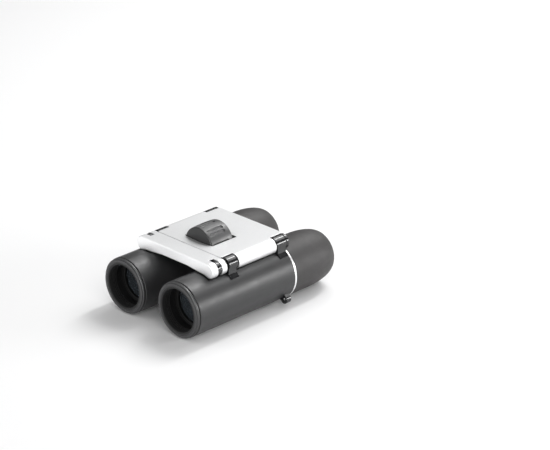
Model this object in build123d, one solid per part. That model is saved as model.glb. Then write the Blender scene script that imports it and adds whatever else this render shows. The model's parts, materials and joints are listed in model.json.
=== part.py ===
from build123d import *
import math
import os

# Compact folding binoculars, 8x21 class, lying folded on their two barrels.
# Units are millimetres. +Z is up, +Y runs from the objective end to the eyepiece end.
# X = 0 is the middle of the bridge, Z = 0 the surface that the barrels lie on.

# ---- driving dimensions ------------------------------------------------------------------
overall_length = 100.5          # front ring face to eyecup face
barrel_radius = 14.8
barrel_spacing = 39.6           # between the two optical axes when folded

top_height = 20.9               # bridge top above the optical axes
underside_height = 15.2         # bridge underside above the optical axes
hinge_offset = 24.0             # hinge axis from the middle of the bridge
edge_radius = 4.0               # rounded side of the bridge, round the hinge axis
cover_wall = 1.1
running_gap = 0.06              # radial clearance of shafts and guides
free_gap = 0.3                  # gap between covers that move past each other

# stations along the barrel, measured back from the front ring's face
bar_front = 16.8
bar_rear = 26.4
slot_front = 20.3
slot_rear = 23.2
cover_front = 26.8
cover_rear = 70.5
lug_front = 34.7
lug_rear = 60.8
wheel_well_front = 33.2
wheel_well_rear = 50.2
tube_front = 2.0
tube_rear = 67.6
neck_rear = 84.0
trim_rear = 68.7
eyecup_front = 68.9

focus_travel = 1.65             # how far the bar and the objectives run out

ring_radius = 14.5
ring_bore = 11.3
ring_band = 1.6
tube_bore = 12.2
neck_radius = 12.6
neck_bore = 10.6
cove_radius = edge_radius + free_gap + 0.05
knuckle_radius = 4.0
knuckle_pocket = 4.15
arm_radius = 3.75
slot_pocket = 4.8
pin_radius = 1.25

wheel_height = 17.7             # wheel axis above the optical axes
wheel_radius = 10.3             # at the crown; the ends are a little smaller
wheel_end_radius = 9.95
wheel_front = 33.45
wheel_rear = 48.5
wheel_cap = 1.2                 # closed front wall of the grip
well_half_width = 10.1
well_lip = 0.45                 # the cover is undercut round the well below this
groove_groups = 8               # the grip has pairs of grooves with a narrow rib between
groove_front = 34.6
groove_rear = 45.4
groove_radius = 0.85
groove_spread = 6.75            # degrees from a pair's middle to each groove
groove_turn = -9.0              # degrees from the top to the first pair's middle

relief_half_width = 9.2         # shallow scoop in the cover in front of the wheel
relief_reach = 2.9
relief_depth = 0.4
spindle_radius = 1.2
bush_radius = 1.95
hub_radius = 6.2
hub_neck = 2.2

groove_station = 68.0           # turned groove in the rear knuckles
rear_knuckle_end = 70.0
rivet_tilt = 33                 # degrees from the top of the barrel, outwards

cell_front = 9.5
cell_rear = 23.6
lens_radius = 10.9
lens_seat = 10.2

strap_station = 63.5
strap_width = 3.0
strap_hole = 1.2
strap_eye_radius = 2.3
strap_angle = -42               # degrees from the outward horizontal, round the right barrel
strap_reach = barrel_radius + 1.5

trim_radius = barrel_radius + 0.2
axis_height = trim_radius
barrel_offset = barrel_spacing / 2
hinge_height = top_height - edge_radius
SIDES = {"left": -1, "right": 1}


# ---- helpers -----------------------------------------------------------------------------
def at(station):
    """Y of a station along the barrels."""
    return station - overall_length / 2


def up(height):
    """Z of a height above the optical axes."""
    return axis_height + height


def rod(x, height, radius, start, end):
    """Cylinder parallel to the barrels between two stations."""
    middle = at((start + end) / 2)
    place = Location((x, middle, up(height)), (90, 0, 0))
    return place * Cylinder(radius, end - start)


def block(x0, x1, start, end, low, high):
    """Box between two X values, two stations and two heights."""
    centre = ((x0 + x1) / 2, at((start + end) / 2), up((low + high) / 2))
    return Location(centre) * Box(x1 - x0, end - start, high - low)


def prism_along(points, start, end):
    """Straight solid between two stations, from (x, height) corners."""
    face = make_face(Polyline(*[(x, up(height)) for x, height in points], close=True))
    place = Location((0, at(end), 0), (90, 0, 0))
    return place * extrude(face, end - start)


def turned(x, height, outline):
    """Solid of revolution about a line along Y, from (radius, station) outline edges."""
    face = make_face(outline)
    body = revolve(face, Axis.Y)
    return Location((x, at(0), up(height))) * body


def steps(*points):
    """Closed straight outline of (radius, station) corners."""
    return Polyline(*points, close=True)


def tube(x, height, outer, inner, start, end):
    return rod(x, height, outer, start, end) - rod(x, height, inner, start - 1, end + 1)


def keep(name, shape, colour):
    """Name, colour and write one node."""
    shape.label = name
    shape.color = Color(*colour)
    export_step(shape, f"parts/{name}.step")
    return shape


silver = (0.83, 0.84, 0.85)
coat_black = (0.16, 0.16, 0.17)
gloss_black = (0.05, 0.05, 0.06)
steel = (0.62, 0.63, 0.65)
brass = (0.78, 0.63, 0.32)
rubber_grey = (0.26, 0.25, 0.25)
crown_glass = (0.55, 0.75, 0.80)


# ---- bridge ------------------------------------------------------------------------------
def bridge_section(inset, start, end):
    """The bridge's section: a flat plate whose sides are round about the hinge axes."""
    body = block(-hinge_offset, hinge_offset, start, end, underside_height + inset, top_height - inset)
    for side in SIDES.values():
        body += rod(side * hinge_offset, hinge_height, edge_radius - inset, start, end)
    return body


def hinge_pockets(radius, start, end):
    """What a round knuckle and its arm need, on both sides."""
    cut = None
    for side in SIDES.values():
        x = side * hinge_offset
        pocket = rod(x, hinge_height, radius, start, end)
        far = x + side * (edge_radius + 3)
        low, high = underside_height - 6, top_height + 2
        pocket += block(min(x, far), max(x, far), start, end, low, high)
        below = x - side * radius
        pocket += block(min(x, below), max(x, below), start, end, low, hinge_height)
        cut = pocket if cut is None else cut + pocket
    return cut


def wheel_well(grow=0.0, high=30):
    """Opening for the wheel, from below the bridge up to a height."""
    half = well_half_width + grow
    return block(-half, half, wheel_well_front - grow, wheel_well_rear + grow, 5, high)


def finger_relief():
    """Shallow bowl in the cover, deepest where it meets the wheel's well."""
    bowl = 3.0
    rise = bowl - relief_depth
    spread = bowl / math.sqrt(bowl**2 - rise**2)
    size = (relief_half_width * spread, relief_reach * spread, bowl)
    place = Location((0, at(wheel_well_front + 0.3), up(top_height + rise)))
    return place * scale(Sphere(1), by=size)


def top_cover():
    body = bridge_section(0, cover_front, cover_rear)
    inner = bridge_section(cover_wall, cover_front + cover_wall, cover_rear - cover_wall)
    rail = 26.2
    inner += block(-rail, rail, cover_front + cover_wall, cover_rear - cover_wall, 8, underside_height + 1.3)
    body -= inner
    for side in SIDES.values():
        body -= rod(side * hinge_offset, hinge_height, edge_radius - cover_wall, cover_front - 1, cover_rear + 1)
    body -= block(-rail, rail, cover_front - 1, cover_rear + 1, 8, underside_height)
    body -= hinge_pockets(knuckle_pocket, cover_front - 1, lug_front)
    body -= hinge_pockets(knuckle_pocket, lug_rear, cover_rear + 1)
    body -= wheel_well()
    body -= wheel_well(0.4, top_height - well_lip)
    body -= finger_relief()
    body -= rod(0, wheel_height, spindle_radius + 0.5, cover_front - 1, wheel_well_front)
    rim = body.edges().filter_by(Axis.X).filter_by(lambda e: e.center().Z > up(top_height) - 0.01)
    outer = [e for e in rim if e.length > 30]
    return fillet(outer, 0.4)


def bridge_frame():
    """Black chassis: hinge lugs, spindle walls and the rails the covers screw to."""
    wall = cover_wall + 0.02
    low, high = underside_height + 1.25, top_height - wall
    half = 19.0
    body = block(-half, half, cover_front + wall, cover_rear - wall, low, high)
    for side in SIDES.values():
        x = side * hinge_offset
        lug = rod(x, hinge_height, edge_radius - wall, lug_front + 0.02, lug_rear - 0.02)
        foot = rod(x, hinge_height, edge_radius, lug_front + 0.02, lug_rear - 0.02)
        foot &= block(-26.1, 26.1, lug_front, lug_rear, 8, underside_height + 1.2)
        inner = x - side * edge_radius
        foot -= block(min(0, inner), max(0, inner), lug_front - 1, lug_rear + 1, 8, 30)
        bridge = block(min(side * half, x), max(side * half, x), lug_front + 0.02, lug_rear - 0.02,
                       low, high)
        body += lug + foot + bridge
    body -= wheel_well(1.0)
    body -= rod(0, wheel_height, bush_radius, cover_front, wheel_well_rear + 5.4)
    pocket = block(-14, -11.6, 55, 66, low - 1, high - 1)
    body -= pocket + pocket.mirror(Plane.YZ) + block(-7, 7, 57, 66, low - 1, high - 1)
    for side in SIDES.values():
        body -= rod(side * hinge_offset, hinge_height, pin_radius, lug_front - 1, lug_rear + 1)
    for x, station in screw_places():
        body -= Location((x, at(station), up(low + 1.5))) * Cylinder(0.8, 5)
    return body


def screw_places():
    return [(side * 16.0, station) for side in (-1, 1) for station in (31.5, 54.0)]


def bottom_cover():
    half = 20.1
    gap = cover_wall + 0.02
    body = block(-half, half, cover_front + gap, cover_rear - gap, underside_height, underside_height + 1.2)
    for start, end in ((cover_front + gap, wheel_well_front), (wheel_well_rear, wheel_well_rear + 6.2)):
        body += block(-3.6, 3.6, start, end, underside_height - 1.3, underside_height)
    for side in SIDES.values():
        body -= rod(side * hinge_offset, hinge_height, edge_radius + 0.02, cover_front, cover_rear)
        body -= rod(side * hinge_offset, hinge_height, knuckle_pocket, cover_front - 1, lug_front)
        body -= rod(side * hinge_offset, hinge_height, knuckle_pocket, lug_rear, cover_rear + 1)
    body -= wheel_well(0.5)
    body -= rod(0, wheel_height, bush_radius, cover_front, wheel_well_rear + 5.4)
    for x, station in screw_places():
        place = Location((x, at(station), up(underside_height)))
        body -= place * Cylinder(1.0, 4)
        body -= place * Cylinder(1.9, 1.4)
    return body


def bottom_cover_screws():
    screws = []
    for x, station in screw_places():
        head = Location((x, at(station), up(underside_height + 0.4))) * Cylinder(1.8, 0.5)
        shank = Location((x, at(station), up(underside_height + 1.75))) * Cylinder(0.8, 2.6)
        slot_a = Location((x, at(station), up(underside_height + 0.1))) * Box(2.2, 0.4, 0.5)
        slot_b = Location((x, at(station), up(underside_height + 0.1))) * Box(0.4, 2.2, 0.5)
        screws.append(head + shank - slot_a - slot_b)
    return Compound(children=screws)


def hinge_pin(side):
    pin = rod(side * hinge_offset, hinge_height, pin_radius, bar_front + 1.6, cover_rear - 1.4)
    return chamfer(pin.edges().filter_by(GeomType.CIRCLE), 0.2)


def spindle_bush(start, end):
    return tube(0, wheel_height, bush_radius - 0.01, spindle_radius + running_gap, start, end)


# ---- focus wheel -------------------------------------------------------------------------
def wheel_grip():
    """Barrel-shaped rubber drum, closed in front, with pairs of grip grooves that stop short of its ends."""
    nose, tail = 0.5, 1.2
    start, end = wheel_front + nose, wheel_rear - tail
    end_radius = wheel_end_radius + 0.15
    face = Line((hub_neck, wheel_front), (wheel_end_radius - nose, wheel_front))
    front_edge = RadiusArc((wheel_end_radius - nose, wheel_front), (wheel_end_radius, start), -nose)
    drum = ThreePointArc((wheel_end_radius, start), (wheel_radius, 0.45 * start + 0.55 * end), (end_radius, end))
    rear_edge = RadiusArc((end_radius, end), (end_radius - tail, wheel_rear), -tail)
    back = Polyline((end_radius - tail, wheel_rear), (hub_radius, wheel_rear), (hub_radius, wheel_front + wheel_cap),
                    (hub_neck, wheel_front + wheel_cap), (hub_neck, wheel_front))
    grip = turned(0, wheel_height, face + front_edge + drum + rear_edge + back)
    for i in range(groove_groups):
        middle = groove_turn + 360 / groove_groups * i
        for angle in (middle - groove_spread, middle + groove_spread):
            grip -= grip_groove(angle)
    return grip


def grip_groove(angle):
    """Round-ended cutter for one groove, at an angle from the top of the wheel."""
    start, end = groove_front + groove_radius, groove_rear - groove_radius
    rear = RadiusArc((0, groove_rear), (groove_radius, end), groove_radius)
    front = RadiusArc((groove_radius, start), (0, groove_front), groove_radius)
    outline = Line((0, groove_front), (0, groove_rear)) + rear + Line((groove_radius, end), (groove_radius, start))
    capsule = revolve(make_face(outline + front), Axis.Y)
    around = Location((0, at(0), up(wheel_height)), (0, angle, 0))
    return around * Location((0, 0, wheel_radius), (0, -90, 0)) * capsule


def wheel_hub():
    start, end = wheel_front + wheel_cap, wheel_rear - 0.15
    hub = rod(0, wheel_height, hub_radius, start, end)
    hub -= tube(0, wheel_height, hub_radius - 1.0, hub_neck, end - 1.2, end + 1)
    hub += rod(0, wheel_height, hub_neck, wheel_front, start)
    hub += rod(0, wheel_height, hub_neck, end - 1.3, wheel_well_rear - 0.2)
    return hub - rod(0, wheel_height, spindle_radius, wheel_well_front, wheel_well_rear)


def focus_spindle():
    """Plain shaft in the bushes with a screwed front end that drives the bar."""
    shaft = rod(0, wheel_height, spindle_radius, bar_front + 3.0, wheel_well_rear + 4.6)
    ridge = spindle_radius - 0.15
    for i in range(6):
        station = bar_front + 3.4 + i * 0.8
        shaft -= tube(0, wheel_height, spindle_radius + 1, ridge, station, station + 0.4)
    return shaft - tube(0, wheel_height, spindle_radius + 1, 0.85, wheel_well_rear + 3.7, wheel_well_rear + 4.2)


def spindle_clip():
    clip = tube(0, wheel_height, 1.85, 0.87, wheel_well_rear + 3.75, wheel_well_rear + 4.15)
    return clip - block(-0.7, 0.7, wheel_well_rear + 3, wheel_well_rear + 5, wheel_height - 4, wheel_height)


# ---- focus bar ---------------------------------------------------------------------------
def arm_slots(radius):
    return hinge_pockets(radius, slot_front, slot_rear)


def bar_haunches(grow, start, end):
    """Wedges under the bar that taper from its round ends towards its middle."""
    low = None
    for side in SIDES.values():
        wedge = prism_along([(side * 9.0, underside_height + 0.5), (side * 9.0, underside_height - grow),
                             (side * 21.5, underside_height - 1.42 - grow), (side * 24.0, hinge_height - 3.5 - grow),
                             (side * 24.0, hinge_height)], start, end)
        low = wedge if low is None else low + wedge
    return low


def focus_bar_cover():
    body = bridge_section(0, bar_front, bar_rear) + bar_haunches(0, bar_front, bar_rear)
    front_edges = body.edges().filter_by(lambda e: abs(e.center().Y - at(bar_front)) < 0.01)
    body = fillet(front_edges, 0.9)
    inner = bridge_section(1.0, bar_front + 1.0, bar_rear - 1.0)
    rail = 26.0
    inner += block(-rail, rail, bar_front + 1.0, bar_rear - 1.0, 8, underside_height + 1.2)
    body -= inner
    body -= arm_slots(slot_pocket)
    for side in SIDES.values():
        x = side * hinge_offset
        body -= rod(x, hinge_height, pin_radius + running_gap, bar_front + 0.6, bar_rear + 1)
    return body - rod(0, wheel_height, spindle_radius + 0.4, bar_rear - 2, bar_rear + 1)


def focus_bar_yoke():
    """Block inside the bar that slides on both hinge pins and holds the nut."""
    body = bridge_section(1.02, bar_front + 1.02, bar_rear - 1.02)
    body += block(-20.0, 20.0, bar_front + 1.02, bar_rear - 1.02, underside_height, underside_height + 2)
    for side in SIDES.values():
        x = side * hinge_offset
        body -= rod(x, hinge_height, pin_radius + running_gap, bar_front, bar_rear)
    body -= arm_slots(slot_pocket)
    body -= rod(0, wheel_height, spindle_radius + 0.4, bar_front + 2.0, bar_rear)
    body -= rod(0, wheel_height, 2.02, bar_rear - 6.5, bar_rear)
    for x in (-9.0, 9.0):
        body -= Location((x, at((bar_front + bar_rear) / 2), up(underside_height + 1.5))) * Cylinder(1.3, 3.2)
    return body


def focus_nut():
    nut = rod(0, wheel_height, 2.0, bar_rear - 6.5, bar_rear - 1.5)
    return nut - rod(0, wheel_height, spindle_radius + 0.03, bar_rear - 8, bar_rear)


def yoke_screws():
    screws = []
    for x in (-9.0, 9.0):
        middle = at((bar_front + bar_rear) / 2)
        screw = Location((x, middle, up(underside_height + 1.55))) * Cylinder(1.3, 2.9)
        screw -= Location((x, middle, up(underside_height + 0.2))) * Box(2.0, 0.4, 0.7)
        screws.append(screw)
    return Compound(children=screws)


# ---- barrels -----------------------------------------------------------------------------
def barrel_tube(side):
    """Main housing: thick tube with a stepped neck, coved where the bridge's edge nests."""
    x = side * barrel_offset
    outline = steps((tube_bore, tube_front), (barrel_radius - 0.25, tube_front), (barrel_radius, tube_front + 0.25),
                    (barrel_radius, tube_rear), (neck_radius, tube_rear), (neck_radius, neck_rear),
                    (neck_bore, neck_rear), (neck_bore, 66.5), (9.0, 66.5), (9.0, 65.5), (tube_bore, 65.5))
    body = turned(x, 0, outline)
    hinge = side * hinge_offset
    start = bar_front - focus_travel - free_gap
    body -= rod(hinge, hinge_height, cove_radius, start, lug_rear + 0.3)
    body -= bar_haunches(free_gap, start, bar_rear + free_gap)
    return body - arm_window(side) - bracket_rivets(side).solids()


def arm_window(side):
    """Slot through the housing under the bar, for the focus arm's web."""
    x = side * (hinge_offset - 1.2)
    return block(x - 2.4, x + 2.4, slot_front - focus_travel - 0.1, slot_rear, 9.0, 15.5)


def front_ring(side):
    """Round-shouldered ring about the objective opening, with anti-glare steps behind it."""
    shoulder = 0.75
    lip = 0.45
    face = Polyline((ring_bore, lip), (ring_bore + 0.15, 0.15), (ring_bore + lip, 0), (12.55, 0), (12.7, 0.2),
                    (12.85, 0), (ring_radius - shoulder, 0))
    edge = RadiusArc((ring_radius - shoulder, 0), (ring_radius, shoulder), shoulder)
    outside = [(ring_radius, shoulder), (ring_radius, ring_band), (tube_bore - 0.02, ring_band),
               (tube_bore - 0.02, 5.4), (ring_bore, 5.4)]
    for station in (4.6, 3.6, 2.6):
        outside += [(ring_bore, station + 0.5), (ring_bore + 0.4, station + 0.5), (ring_bore, station)]
    return turned(side * barrel_offset, 0, face + edge + Polyline(*outside, (ring_bore, lip)))


def hinge_bracket(side, start, end, foot_start, foot_end):
    """Round knuckle on the hinge pin and a solid foot that runs down to the barrel."""
    x = side * hinge_offset
    body = rod(x, hinge_height, knuckle_radius, start, end)
    body = chamfer(body.edges().filter_by(GeomType.CIRCLE), 0.35)
    arm = prism_along([(side * 20.4, 15.4), (side * 24.0, 16.9), (side * 27.98, 16.5), (side * 27.98, 14.8),
                       (side * 28.15, 13.2), (side * 29.3, 11.95), (side * 29.95, 11.2), (side * 29.6, 10.6),
                       (side * 22.0, 11.0)],
                      foot_start + 0.2, foot_end)
    pad = tube(side * barrel_offset, 0, barrel_radius + 0.75, barrel_radius - 1, foot_start, foot_end)
    pad &= prism_along([(side * 20.6, 20.0), (side * 27.0, 20.0), (side * 28.1, 13.3), (side * 27.4, 11.0),
                        (side * 20.6, 10.0)], foot_start, foot_end)
    body += arm + pad
    body -= barrel_blank(side)
    body -= bracket_rivets(side).solids()
    return body - rod(x, hinge_height, pin_radius + running_gap, start - 1, end + 1)


def rear_bracket(side):
    """Bracket with a turned groove near the end of its knuckle."""
    x = side * hinge_offset
    start, end = groove_station, groove_station + 0.45
    body = hinge_bracket(side, 61.3, rear_knuckle_end, 61.5, 67.3)
    groove = tube(x, hinge_height, knuckle_radius + 2, knuckle_radius - 0.4, start, end)
    groove -= block(-40, 40, start - 1, end + 1, 0, barrel_radius + 0.6)
    return body - groove


def barrel_blank(side):
    """Everything that the barrel and the turning eyecup take up, for trimming the brackets."""
    blank = rod(side * barrel_offset, 0, barrel_radius, -5, tube_rear)
    blank -= rod(side * hinge_offset, hinge_height, cove_radius, 10, lug_rear + 0.3)
    return blank + rod(side * barrel_offset, 0, trim_radius + 0.25, tube_rear - 0.1, overall_length)


def bracket_rivets(side):
    """Two blind rivets from inside the housing wall into the pads of the brackets."""
    rivets = []
    for station in (29.6, 64.2):
        radial = Location((side * barrel_offset, at(station), axis_height), (0, side * rivet_tilt, 0))
        shank = radial * Location((0, 0, 13.9)) * Cylinder(0.8, 2.6)
        head = radial * Location((0, 0, 12.7)) * Cylinder(1.4, 0.5)
        rivets.append(shank + head)
    return Compound(children=rivets)


def trim_ring(side):
    x = side * barrel_offset
    ring = tube(x, 0, trim_radius, neck_radius, tube_rear, trim_rear)
    rims = [e for e in ring.edges().filter_by(GeomType.CIRCLE) if e.radius > barrel_radius]
    return fillet(rims, 0.25)


def prism_holder(side):
    """Cage that the roof prisms sit in."""
    x = side * barrel_offset
    body = rod(x, 0, tube_bore - 0.02, 44.0, 65.4)
    body -= block(x - 7.2, x + 7.2, 46.0, 63.4, -20, 20)
    return body - rod(x, 0, 6.5, 40, 70)


def half_penta_prism(side):
    x = side * barrel_offset
    half = 7.0
    return prism_side(x, half, [(47.0, -7.5), (47.0, 7.5), (54.6, 7.5), (51.0, -7.5)])


def roof_prism(side):
    x = side * barrel_offset
    half = 7.0
    return prism_side(x, half, [(55.4, 7.5), (62.6, 7.5), (62.6, -7.5), (51.8, -7.5)])


def prism_side(x, half, corners):
    """Prism extruded across the barrel from (station, height) corners."""
    outline = Polyline(*[(at(station), up(height)) for station, height in corners], close=True)
    face = Plane.YZ * make_face(outline)
    return Location((x - half, 0, 0)) * extrude(face, 2 * half, dir=(1, 0, 0))


def lens(x, radius, front, front_bulge, rear, rear_bulge):
    """Lens between two stations at its rim; a bulge is how far each face stands out."""
    def face_curve(station, bulge, sign):
        if abs(bulge) < 0.01:
            return Line((0, station), (radius, station))
        return ThreePointArc((0, station - sign * bulge), (radius / 2, station - sign * bulge * 0.755),
                             (radius, station))
    first = face_curve(front, front_bulge, 1)
    rim = Line((radius, front), (radius, rear))
    second = face_curve(rear, rear_bulge, -1)
    core = Line((0, front - front_bulge), (0, rear + rear_bulge))
    return turned(x, 0, first + rim + second + core)


def lens_cell(side):
    """Sleeve that carries the objective and slides in the barrel."""
    x = side * barrel_offset
    outline = steps((lens_seat, cell_front + 4.6), (lens_radius, cell_front + 4.6), (lens_radius, cell_front),
                    (tube_bore - running_gap, cell_front), (tube_bore - running_gap, cell_rear),
                    (tube_bore - 1.3, cell_rear), (tube_bore - 1.3, cell_front + 6), (lens_seat, cell_front + 6))
    return turned(x, 0, outline)


def objective_lens(side):
    return lens(side * barrel_offset, lens_radius - 0.02, cell_front + 1.9, 1.0, cell_front + 4.58, 0.0)


def lens_retainer(side):
    return tube(side * barrel_offset, 0, lens_radius - 0.02, lens_seat - 0.3, cell_front + 0.2, cell_front + 1.7)


def focus_arm(side):
    """Narrow eye in the bar's slot with a web down to the sliding cell."""
    x = side * hinge_offset
    start, end = slot_front + 0.3, slot_rear - 0.3
    body = rod(x, hinge_height, arm_radius, start, end)
    web = side * (hinge_offset - 1.2)
    body += block(web - 2.0, web + 2.0, start, end, 8.0, hinge_height)
    body -= rod(side * barrel_offset, 0, tube_bore - running_gap, start - 1, end + 1)
    return body - rod(x, hinge_height, pin_radius + running_gap, start - 1, end + 1)


# ---- eyepieces ---------------------------------------------------------------------------
def eyecup(side):
    """Smooth rounded rubber shell over the whole eyepiece end."""
    round_start = 84.0
    face_radius = 10.0
    shell = barrel_radius - 0.05
    span = overall_length - round_start
    profile = Line((shell, eyecup_front), (shell, round_start))
    dome = EllipticalCenterArc((face_radius, round_start), shell - face_radius, span, start_angle=0, arc_size=90)
    mouth = Polyline((face_radius, overall_length), (8.9, overall_length - 0.6), (8.3, 96.0), (11.6, 94.4),
                     (11.6, 85.2), (13.5, 85.2), (13.5, eyecup_front), (shell, eyecup_front))
    return turned(side * barrel_offset, 0, profile + dome + mouth)


def eyecup_sleeve(side):
    """Rigid sleeve inside the rubber shell that turns on the neck."""
    x = side * barrel_offset
    outline = steps((neck_radius + running_gap, eyecup_front + 0.4), (13.48, eyecup_front + 0.4), (13.48, 85.18),
                    (11.1, 85.18), (11.1, 84.3), (neck_radius + running_gap, 84.3))
    return turned(x, 0, outline)


def eyepiece_housing(side):
    """Threaded tube that holds the eyepiece lenses."""
    x = side * barrel_offset
    outer = neck_bore - running_gap
    outline = steps((8.2, 70.0), (outer, 70.0), (outer, 93.6), (8.2, 93.6))
    body = turned(x, 0, outline)
    return body


def field_stop(side):
    return tube(side * barrel_offset, 0, 8.18, 5.4, 72.0, 72.8)


def field_lens(side):
    return lens(side * barrel_offset, 8.18, 76.6, 1.0, 78.6, 1.0)


def eye_lens(side):
    return lens(side * barrel_offset, 8.18, 87.4, 1.2, 91.8, 0.0)


def strap_lug():
    """Small moulded eye for the strap on the right barrel, near its eyepiece end."""
    x = barrel_offset + strap_reach * math.cos(math.radians(strap_angle))
    height = strap_reach * math.sin(math.radians(strap_angle))
    place = Location((x, at(strap_station), up(height)), (0, -strap_angle, 0))
    eye = place * Location((0, 0, 0), (90, 0, 0)) * Cylinder(strap_eye_radius, strap_width)
    root = place * Location((-1.6, 0, 0)) * Box(3.4, strap_width, 2 * strap_eye_radius)
    hole = place * Location((0, 0, 0), (90, 0, 0)) * Cylinder(strap_hole, strap_width + 2)
    return eye + root - rod(barrel_offset, 0, barrel_radius, 40, 70) - hole


# ---- all nodes ---------------------------------------------------------------------------
def build():
    nodes = [
        keep("top_cover", top_cover(), silver),
        keep("bridge_frame", bridge_frame(), coat_black),
        keep("bottom_cover", bottom_cover(), coat_black),
        keep("bottom_cover_screws", bottom_cover_screws(), steel),
        keep("spindle_front_bush", spindle_bush(wheel_well_front - 3.6, wheel_well_front - 1.0), brass),
        keep("spindle_rear_bush", spindle_bush(wheel_well_rear + 1.0, wheel_well_rear + 3.6), brass),
        keep("wheel_grip", wheel_grip(), rubber_grey),
        keep("wheel_hub", wheel_hub(), coat_black),
        keep("focus_spindle", focus_spindle(), steel),
        keep("spindle_clip", spindle_clip(), steel),
        keep("focus_bar_cover", focus_bar_cover(), silver),
        keep("focus_bar_yoke", focus_bar_yoke(), coat_black),
        keep("focus_nut", focus_nut(), brass),
        keep("yoke_screws", yoke_screws(), steel),
        keep("right_strap_lug", strap_lug(), gloss_black),
    ]
    for name, side in SIDES.items():
        nodes += [
            keep(f"{name}_hinge_pin", hinge_pin(side), steel),
            keep(f"{name}_barrel_tube", barrel_tube(side), coat_black),
            keep(f"{name}_front_ring", front_ring(side), gloss_black),
            keep(f"{name}_front_bracket", hinge_bracket(side, 27.8, 34.0, 27.1, 32.6), gloss_black),
            keep(f"{name}_rear_bracket", rear_bracket(side), gloss_black),
            keep(f"{name}_bracket_rivets", bracket_rivets(side), steel),
            keep(f"{name}_trim_ring", trim_ring(side), steel),
            keep(f"{name}_prism_holder", prism_holder(side), coat_black),
            keep(f"{name}_half_penta_prism", half_penta_prism(side), crown_glass),
            keep(f"{name}_roof_prism", roof_prism(side), crown_glass),
            keep(f"{name}_lens_cell", lens_cell(side), coat_black),
            keep(f"{name}_objective_lens", objective_lens(side), crown_glass),
            keep(f"{name}_lens_retainer", lens_retainer(side), coat_black),
            keep(f"{name}_focus_arm", focus_arm(side), gloss_black),
            keep(f"{name}_eyecup", eyecup(side), rubber_grey),
            keep(f"{name}_eyecup_sleeve", eyecup_sleeve(side), coat_black),
            keep(f"{name}_eyepiece_housing", eyepiece_housing(side), coat_black),
            keep(f"{name}_field_stop", field_stop(side), coat_black),
            keep(f"{name}_field_lens", field_lens(side), crown_glass),
            keep(f"{name}_eye_lens", eye_lens(side), crown_glass),
        ]
    return nodes


os.makedirs("parts", exist_ok=True)
build()
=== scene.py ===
import json
import math

import bpy
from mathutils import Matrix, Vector

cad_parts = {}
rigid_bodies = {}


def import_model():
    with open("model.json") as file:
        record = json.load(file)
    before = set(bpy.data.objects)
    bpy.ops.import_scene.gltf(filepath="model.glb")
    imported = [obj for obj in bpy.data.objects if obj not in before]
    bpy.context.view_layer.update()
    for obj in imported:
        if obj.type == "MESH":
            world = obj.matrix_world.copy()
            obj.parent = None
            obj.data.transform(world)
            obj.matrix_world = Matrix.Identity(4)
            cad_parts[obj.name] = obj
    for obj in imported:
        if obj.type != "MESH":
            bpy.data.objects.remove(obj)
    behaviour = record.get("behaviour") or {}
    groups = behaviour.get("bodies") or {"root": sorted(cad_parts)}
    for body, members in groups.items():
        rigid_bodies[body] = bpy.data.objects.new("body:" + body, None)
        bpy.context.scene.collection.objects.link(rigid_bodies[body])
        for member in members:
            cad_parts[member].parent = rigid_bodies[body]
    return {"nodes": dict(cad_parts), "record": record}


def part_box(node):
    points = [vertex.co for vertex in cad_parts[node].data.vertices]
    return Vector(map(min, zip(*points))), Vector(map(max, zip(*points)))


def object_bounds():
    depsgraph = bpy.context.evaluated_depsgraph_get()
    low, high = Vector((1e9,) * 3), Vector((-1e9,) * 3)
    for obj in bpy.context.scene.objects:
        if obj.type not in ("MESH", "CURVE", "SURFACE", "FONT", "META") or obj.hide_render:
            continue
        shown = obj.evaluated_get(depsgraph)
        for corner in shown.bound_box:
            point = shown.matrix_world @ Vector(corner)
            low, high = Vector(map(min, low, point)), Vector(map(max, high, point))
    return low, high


# ---- camera: looks down on the folded binoculars from the right front ----
CAMERA_AZIMUTH = 44.7556  # degrees from the front towards +X
CAMERA_ELEVATION = 23.6876  # degrees
CAMERA_DISTANCE = 1.1224  # metres
CAMERA_LENS = 144.33  # millimetres
CAMERA_AIM = (0.01427, 0.02321, 0.03631)  # metres

# ---- lengths on the surfaces, in metres ----
TUBE_BORE = 0.01225  # just over the radius of the barrel tubes' bores
BORE_FADE = 0.0002
WHEEL_FACE_DEPTH = 0.0003
SEAM_SHADE_REACH = 0.0012  # how near the walls of a seam are for its painted shade, on plastic
WELL_SHADE_REACH = 0.005  # the same for the painted shade in the wheel's well in the silver cover

# ---- stage ----
FLOOR_REACH = 6.0
WORLD_STRENGTH = 0.30

# sockets of the Mix node when it mixes colours
MIX_FIRST, MIX_SECOND, MIX_RESULT = 6, 7, 2


def clear_scene():
    for old in list(bpy.data.objects):
        bpy.data.objects.remove(old)


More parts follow.
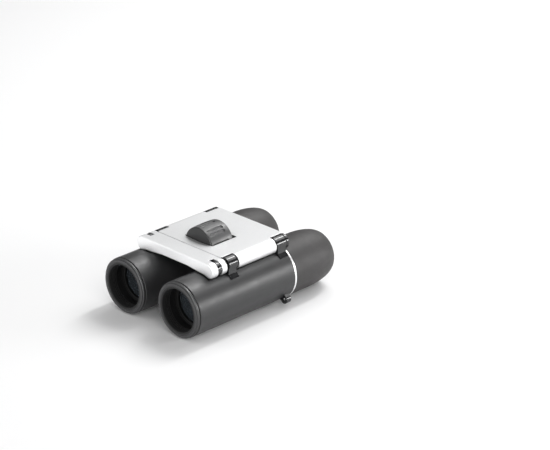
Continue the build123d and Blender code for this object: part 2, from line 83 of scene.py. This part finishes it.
# ---- materials -----------------------------------------------------------------------------
class Nodes:
    """Short names for building one material's node tree."""

    def __init__(self, name):
        self.material = bpy.data.materials.new(name)
        self.material.use_nodes = True
        self.tree = self.material.node_tree
        self.tree.nodes.clear()
        self.shader = self.add("ShaderNodeBsdfPrincipled")
        output = self.add("ShaderNodeOutputMaterial")
        self.link(self.shader.outputs["BSDF"], output.inputs["Surface"])
        self.place = self.add("ShaderNodeTexCoord").outputs["Object"]

    def add(self, kind, **values):
        node = self.tree.nodes.new(kind)
        for key, value in values.items():
            setattr(node, key, value)
        return node

    def link(self, source, target):
        self.tree.links.new(source, target)

    def feed(self, name, source):
        """Drives one of the shader's inputs."""
        self.link(source, self.shader.inputs[name])

    def set(self, **values):
        """Sets plain values on the shader's own inputs."""
        for key, value in values.items():
            self.shader.inputs[key.replace("_", " ")].default_value = value

    # -- patterns --
    def stretched(self, scale):
        mapping = self.add("ShaderNodeMapping")
        mapping.inputs["Scale"].default_value = scale
        self.link(self.place, mapping.inputs["Vector"])
        return mapping.outputs["Vector"]

    def noise(self, scale, detail, rough=0.55, source=None):
        """Soft noise with scale cells to the metre."""
        node = self.add("ShaderNodeTexNoise")
        node.inputs["Scale"].default_value = scale
        node.inputs["Detail"].default_value = detail
        node.inputs["Roughness"].default_value = rough
        self.link(source or self.place, node.inputs["Vector"])
        return node.outputs["Fac"]

    def flakes(self, scale):
        """A random colour for each small cell, split into its three channels."""
        cells = self.add("ShaderNodeTexVoronoi", feature="F1")
        cells.inputs["Scale"].default_value = scale
        self.link(self.place, cells.inputs["Vector"])
        split = self.add("ShaderNodeSeparateColor")
        self.link(cells.outputs["Color"], split.inputs["Color"])
        return split.outputs

    def split_place(self):
        split = self.add("ShaderNodeSeparateXYZ")
        self.link(self.place, split.inputs["Vector"])
        return split.outputs

    # -- arithmetic --
    def remap(self, value, start, onto):
        """Takes the span start onto the span onto, clamped at both ends."""
        node = self.add("ShaderNodeMapRange")
        names = ("From Min", "From Max", "To Min", "To Max")
        for name, number in zip(names, (*start, *onto)):
            node.inputs[name].default_value = number
        self.link(value, node.inputs["Value"])
        return node.outputs["Result"]

    def math(self, operation, first, second, clamp=True):
        node = self.add("ShaderNodeMath", operation=operation, use_clamp=clamp)
        for socket, value in zip(node.inputs, (first, second)):
            if isinstance(value, (int, float)):
                socket.default_value = value
            else:
                self.link(value, socket)
        return node.outputs["Value"]

    def times(self, first, second):
        return self.math("MULTIPLY", first, second)

    def mix(self, amount, first, second):
        node = self.add("ShaderNodeMix", data_type="RGBA")
        self.link(amount, node.inputs["Factor"])
        for index, value in ((MIX_FIRST, first), (MIX_SECOND, second)):
            if isinstance(value, tuple):
                node.inputs[index].default_value = (*value, 1.0)
            else:
                self.link(value, node.inputs[index])
        return node.outputs[MIX_RESULT]

    # -- masks: 1 where they apply, 0 elsewhere --
    def rounded(self, radius, samples):
        """The surface normal with edges rounded off to radius."""
        bevel = self.add("ShaderNodeBevel", samples=samples)
        bevel.inputs["Radius"].default_value = radius
        return bevel.outputs["Normal"]

    def edge(self, radius):
        """Sharp edges, as against flat and gently curved faces."""
        rounded = self.rounded(radius, samples=4)
        geometry = self.add("ShaderNodeNewGeometry")
        dot = self.add("ShaderNodeVectorMath", operation="DOT_PRODUCT")
        self.link(rounded, dot.inputs[0])
        self.link(geometry.outputs["Normal"], dot.inputs[1])
        return self.remap(dot.outputs["Value"], (0.995, 0.80), (0.0, 1.0))

    def occlusion_shade(self, distance):
        """Painted shade: deep in seams and hollows, as against open faces, found by ambient
        occlusion.
        """
        cover = self.add("ShaderNodeAmbientOcclusion", samples=8)
        cover.inputs["Distance"].default_value = distance
        return self.remap(cover.outputs["AO"], (0.92, 0.40), (0.0, 1.0))

    def front_face(self, node, depth):
        """The front end of a CAD node."""
        place = self.split_place()
        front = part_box(node)[0].y
        return self.remap(place["Y"], (front + depth, front + depth * 2), (1.0, 0.0))

    def bore(self, radius):
        """Inside the barrels' bores, by the distance to the nearer optical axis."""
        low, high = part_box("right_barrel_tube")
        axis_x, axis_z = (low.x + high.x) / 2, (low.z + high.z) / 2
        place = self.split_place()
        across = self.math("ABSOLUTE", place["X"], 0.0)
        across = self.math("SUBTRACT", across, axis_x, clamp=False)
        rise = self.math("SUBTRACT", place["Z"], axis_z, clamp=False)
        square = self.math("ADD", self.times(across, across), self.times(rise, rise))
        reach = self.math("POWER", square, 0.5)
        return self.remap(reach, (radius, radius + BORE_FADE), (1.0, 0.0))

    # -- relief --
    def bump(self, *layers, soften=0.0):
        """Stacks (height, strength, distance) layers of relief on a slightly softened edge."""
        normal = self.rounded(soften, samples=6) if soften else None
        for height, strength, distance in layers:
            node = self.add("ShaderNodeBump")
            node.inputs["Strength"].default_value = strength
            node.inputs["Distance"].default_value = distance
            self.link(height, node.inputs["Height"])
            if normal is not None:
                self.link(normal, node.inputs["Normal"])
            normal = node.outputs["Normal"]
        self.feed("Normal", normal)


def tone(colour, factor, lift=0.0):
    return tuple(min(1.0, c * factor + lift) for c in colour)


def plastic(name, colour, rough, grain, grain_depth, wear, coat=0.0, soften=0.00015,
            specular=0.5, bore=0.0, dark_front=None):
    """Moulded or coated plastic: blotches, dust, fine grain, slightly polished edges and painted
    shade in seams and hollows.
    """
    n = Nodes(name)
    blotch = n.noise(scale=70.0, detail=4.0)
    fine = n.noise(scale=grain, detail=2.0, rough=0.6)
    smudge = n.noise(scale=260.0, detail=5.0, rough=0.7)
    dust = n.remap(n.noise(scale=2600.0, detail=1.0), (0.70, 0.78), (0.0, 0.35))

    base = n.mix(n.remap(blotch, (0.35, 0.65), (0.0, 1.0)), tone(colour, 0.90), tone(colour, 1.10))
    base = n.mix(n.remap(fine, (0.3, 0.7), (0.0, 0.5)), base, tone(colour, 1.22))
    base = n.mix(dust, base, tone(colour, 1.0, lift=0.05))
    worn = n.times(n.edge(0.0003), n.remap(smudge, (0.40, 0.62), (0.25, 1.0)))
    base = n.mix(n.times(worn, wear), base, tone(colour, 1.5, lift=0.06))

    uneven = n.remap(smudge, (0.3, 0.7), (rough - 0.05, rough + 0.06))
    uneven = n.math("SUBTRACT", uneven, n.times(worn, 0.12))
    # painted shade: darker in seams and hollows, by ambient occlusion
    base = n.mix(n.times(n.occlusion_shade(SEAM_SHADE_REACH), 0.75), base, tone(colour, 0.25))
    if bore:
        # flat black inside the bores, deepened with painted shade of the deep opening, and rougher
        # there
        inside = n.bore(bore)
        base = n.mix(inside, base, tone(colour, 0.12))
        uneven = n.math("ADD", uneven, n.times(inside, 0.4))
    if dark_front:
        base = n.mix(n.front_face(dark_front, WHEEL_FACE_DEPTH), base, tone(colour, 0.2))

    n.feed("Base Color", base)
    n.feed("Roughness", uneven)
    n.bump((fine, 0.35, grain_depth), (blotch, 0.10, 0.00006), soften=soften)
    n.set(Specular_IOR_Level=specular, Coat_Weight=coat, Coat_Roughness=0.12)
    return n.material


def silver_paint(name, colour):
    """Bright silver lacquer: metal flakes under a satin coat, duller where edges rub, with painted
    shade in the wheel's well and seams.
    """
    n = Nodes(name)
    sparkle = n.flakes(scale=9000.0)
    blotch = n.noise(scale=45.0, detail=3.0)
    orange_peel = n.noise(scale=900.0, detail=2.0)
    scuff = n.noise(scale=1.0, detail=4.0, rough=0.6, source=n.stretched((2200.0, 260.0, 2200.0)))

    base = n.mix(sparkle["Red"], tone(colour, 0.93), tone(colour, 1.06))
    base = n.mix(n.remap(blotch, (0.35, 0.65), (0.0, 0.6)), base, tone(colour, 0.965))
    worn = n.times(n.edge(0.00025), n.remap(orange_peel, (0.42, 0.62), (0.2, 1.0)))
    base = n.mix(n.times(worn, 0.35), base, tone(colour, 0.80))
    # painted shade: the wheel's shadow in its well and dark seams, by ambient occlusion
    base = n.mix(n.times(n.occlusion_shade(WELL_SHADE_REACH), 0.8), base, tone(colour, 0.30))

    n.feed("Base Color", base)
    n.feed("Roughness", n.remap(scuff, (0.3, 0.7), (0.34, 0.44)))
    n.feed("Metallic", n.remap(sparkle["Green"], (0.0, 1.0), (0.25, 0.55)))
    n.bump((orange_peel, 0.10, 0.00002), (sparkle["Blue"], 0.08, 0.000006), soften=0.0003)
    n.set(Coat_Weight=0.25, Coat_Roughness=0.22)
    return n.material


def turned_metal(name, colour, rough, lines):
    """Metal turned on a lathe about a line along Y, with fine rings and a few dull stains."""
    n = Nodes(name)
    rings = n.noise(scale=1.0, detail=2.0, rough=0.5, source=n.stretched((60.0, lines, 60.0)))
    stain = n.noise(scale=300.0, detail=5.0, rough=0.65)

    base = n.mix(n.remap(stain, (0.40, 0.66), (0.0, 1.0)), tone(colour, 1.05), tone(colour, 0.78))
    base = n.mix(n.remap(rings, (0.35, 0.65), (0.0, 0.5)), base, tone(colour, 0.90))
    base = n.mix(n.times(n.edge(0.0002), 0.5), base, tone(colour, 1.25))

    n.feed("Base Color", base)
    n.feed("Roughness", n.remap(stain, (0.3, 0.7), (rough - 0.04, rough + 0.10)))
    n.bump((rings, 0.25, 0.00001), soften=0.0001)
    n.set(Metallic=1.0)
    return n.material


def glass(name, colour, film):
    """Polished optical glass with a thin coloured coating and a little dust."""
    n = Nodes(name)
    dust = n.remap(n.noise(scale=1800.0, detail=2.0), (0.72, 0.78), (0.0, 1.0))
    haze = n.noise(scale=120.0, detail=2.0)

    n.feed("Base Color", n.mix(n.remap(haze, (0.3, 0.7), (0.0, 1.0)), colour, tone(colour, 0.94)))
    smooth = n.remap(haze, (0.35, 0.7), (0.01, 0.03))
    n.feed("Roughness", n.math("ADD", smooth, n.times(dust, 0.05)))
    n.bump((haze, 0.02, 0.000002))
    n.set(Transmission_Weight=0.95, IOR=1.45, Specular_IOR_Level=0.15)
    n.set(Coat_Weight=0.1, Coat_Roughness=0.03, Coat_Tint=(*film, 1.0))
    return n.material


def plastics():
    """(colour, settings) of each moulded or coated slot; grain is in cells to the metre."""
    return {
        "body_black": ((0.024, 0.024, 0.025), dict(
            rough=0.40, grain=5200.0, grain_depth=0.00003, wear=0.30, bore=TUBE_BORE)),
        "frame_black": ((0.022, 0.022, 0.024), dict(
            rough=0.50, grain=3600.0, grain_depth=0.00004, wear=0.5)),
        "gloss_black": ((0.006, 0.006, 0.007), dict(
            rough=0.15, grain=2600.0, grain_depth=0.000005, wear=0.12, coat=0.3, specular=0.4)),
        "wheel_rubber": ((0.070, 0.070, 0.071), dict(
            rough=0.36, grain=4200.0, grain_depth=0.00003, wear=0.6, soften=0.0002,
            dark_front="wheel_grip")),
        "eyecup_rubber": ((0.035, 0.033, 0.033), dict(
            rough=0.56, grain=4600.0, grain_depth=0.00005, wear=0.25)),
        "inner_black": ((0.004, 0.004, 0.004), dict(
            rough=0.75, grain=3000.0, grain_depth=0.00005, wear=0.1, specular=0.2)),
    }


def build_materials():
    """One material for each material slot of the record."""
    materials = {
        "silver_paint": silver_paint("silver_paint", (0.83, 0.835, 0.84)),
        "steel": turned_metal("steel", (0.60, 0.61, 0.63), rough=0.26, lines=9000.0),
        "polished_trim": turned_metal("polished_trim", (0.95, 0.95, 0.955), rough=0.32, lines=5000.0),
        "brass": turned_metal("brass", (0.78, 0.58, 0.27), rough=0.28, lines=8000.0),
        "lens_glass": glass("lens_glass", (0.30, 0.34, 0.38), film=(0.80, 0.90, 1.0)),
        "prism_glass": glass("prism_glass", (0.94, 0.98, 0.98), film=(0.9, 1.0, 0.95)),
    }
    for name, (colour, settings) in plastics().items():
        materials[name] = plastic(name, colour, **settings)
    return materials


def dress_nodes(frame, materials):
    """Every CAD node takes the material of the record's slot it belongs to."""
    for row in frame["record"]["subparts"]:
        node = frame["nodes"][row["node"]]
        name = row["material_slot"]
        for place in node.material_slots:
            place.material = materials[name]
        if not node.material_slots:
            node.data.materials.append(materials[name])


# ---- stage ---------------------------------------------------------------------------------
def pale_floor(low):
    reach = FLOOR_REACH
    corners = [(-reach, -reach, 0), (reach, -reach, 0), (reach, reach, 0), (-reach, reach, 0)]
    mesh = bpy.data.meshes.new("floor")
    mesh.from_pydata(corners, [], [(0, 1, 2, 3)])
    floor = bpy.data.objects.new("floor", mesh)
    floor.location.z = low
    bpy.context.scene.collection.objects.link(floor)
    n = Nodes("floor_white")
    shade = n.noise(scale=3.0, detail=2.0)
    n.feed("Base Color", n.mix(shade, (0.90, 0.90, 0.905), (0.93, 0.93, 0.93)))
    n.set(Roughness=0.5)
    mesh.materials.append(n.material)


def soft_light(name, direction, distance, size, power, aim):
    """An area light that stands off from aim in the given direction and faces it."""
    data = bpy.data.lights.new(name, "AREA")
    data.shape = "RECTANGLE"
    data.size, data.size_y = size
    data.energy = power
    lamp = bpy.data.objects.new(name, data)
    back = Vector(direction).normalized()
    lamp.location = aim + back * distance
    lamp.rotation_euler = back.to_track_quat("Z", "Y").to_euler()
    bpy.context.scene.collection.objects.link(lamp)


def studio(centre):
    """A pale room with a broad light above, two strips for the highlights and three fills."""
    world = bpy.data.worlds.new("studio")
    world.use_nodes = True
    ground = world.node_tree.nodes["Background"]
    ground.inputs["Color"].default_value = (1.0, 1.0, 1.0, 1.0)
    ground.inputs["Strength"].default_value = WORLD_STRENGTH
    bpy.context.scene.world = world
    # name, direction, distance and size in metres, power in watts
    lights = (
        ("overhead", (-0.05, 0.60, 0.80), 0.9, (1.0, 0.45), 4.3),
        ("top_strip", (-0.05, 0.65, 0.76), 1.0, (0.10, 0.5), 3.4),
        ("side_strip", (0.74, 0.65, 0.19), 1.0, (0.5, 0.12), 4.8),
        ("front_left", (-0.60, -0.75, 0.60), 1.1, (0.8, 0.6), 1.6),
        ("front_low", (0.05, -0.99, 0.05), 1.2, (0.9, 0.2), 13.0),
        ("front_right", (0.80, -0.40, 0.70), 1.2, (0.6, 0.4), 3.0),
    )
    for name, direction, distance, size, power in lights:
        soft_light(name, direction, distance, size, power, centre)


def photo_camera():
    azimuth = math.radians(CAMERA_AZIMUTH)
    elevation = math.radians(CAMERA_ELEVATION)
    level = math.cos(elevation)
    back = Vector((math.sin(azimuth) * level, -math.cos(azimuth) * level, math.sin(elevation)))
    data = bpy.data.cameras.new("camera")
    data.lens = CAMERA_LENS
    data.clip_start = 0.01
    data.clip_end = 50.0
    camera = bpy.data.objects.new("camera", data)
    camera.location = Vector(CAMERA_AIM) + back * CAMERA_DISTANCE
    camera.rotation_euler = back.to_track_quat("Z", "Y").to_euler()
    bpy.context.scene.collection.objects.link(camera)
    bpy.context.scene.camera = camera


clear_scene()
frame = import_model()
cad_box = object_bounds()
dress_nodes(frame, build_materials())
pale_floor(cad_box[0].z)
studio((cad_box[0] + cad_box[1]) / 2)
photo_camera()
bpy.context.scene.view_settings.view_transform = "Standard"
